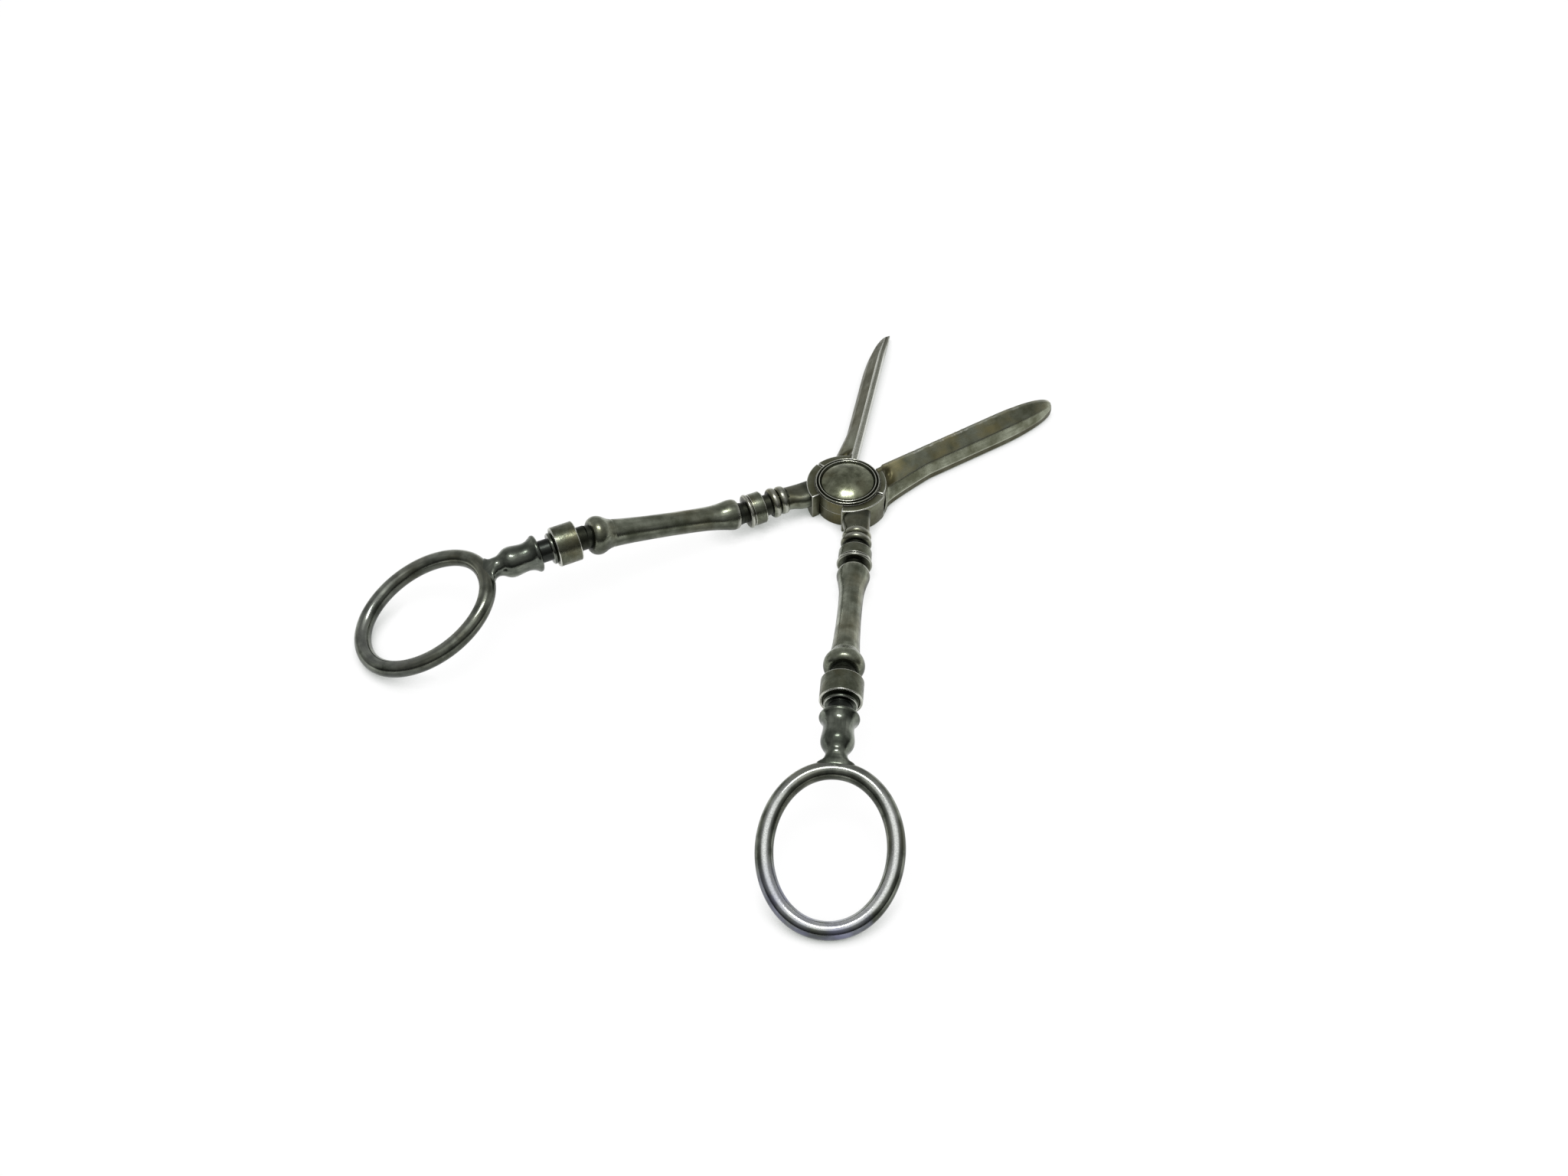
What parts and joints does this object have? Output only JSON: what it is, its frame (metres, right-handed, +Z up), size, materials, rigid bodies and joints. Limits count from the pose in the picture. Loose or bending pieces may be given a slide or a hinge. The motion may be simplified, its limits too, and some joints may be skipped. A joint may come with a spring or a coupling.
{
  "type": "grape shears",
  "caption": "Table shears with turned baluster handles, oval finger rings and a capped lap pivot, for snipping stems from a bunch of grapes.",
  "frame": {"origin": "on the pivot axis, at the flat underside of the pivot pin's head, which is the table", "axes": "+Z up along the pivot, +Y along the middle line between the open blades, +X to the side of the left handle's blade"},
  "size_m": [0.1318, 0.1512, 0.0177],
  "materials": {
    "blade_plate": "silver-plated forging, tarnished, brushed along the blade",
    "polished_plate": "silver plate, glossy and darkly tarnished",
    "satin_plate": "silver plate, satin and speckled",
    "dark_steel": "dark inner steel"
  },
  "bodies": {
    "right_arm": {"right_arm_blade": "blade_plate", "right_arm_tang": "dark_steel", "right_arm_neck_beads": "polished_plate", "right_arm_small_collar": "satin_plate", "right_arm_shaft": "polished_plate", "right_arm_large_collar": "satin_plate", "right_arm_step_ring": "satin_plate", "right_arm_finial": "polished_plate", "right_arm_finger_ring": "polished_plate", "pivot_pin": "dark_steel", "spring_washer": "dark_steel", "domed_cap": "satin_plate"},
    "left_arm": {"left_arm_blade": "blade_plate", "left_arm_tang": "dark_steel", "left_arm_neck_beads": "polished_plate", "left_arm_small_collar": "satin_plate", "left_arm_shaft": "polished_plate", "left_arm_large_collar": "satin_plate", "left_arm_step_ring": "satin_plate", "left_arm_finial": "polished_plate", "left_arm_finger_ring": "polished_plate"}
  },
  "joints": [
    {"name": "blade_pivot", "type": "hinge", "parent": "right_arm", "child": "left_arm", "pos_m": [0, 0, 0], "axis": [0, 0, 1], "range_deg": [-2, 47]}
  ]
}
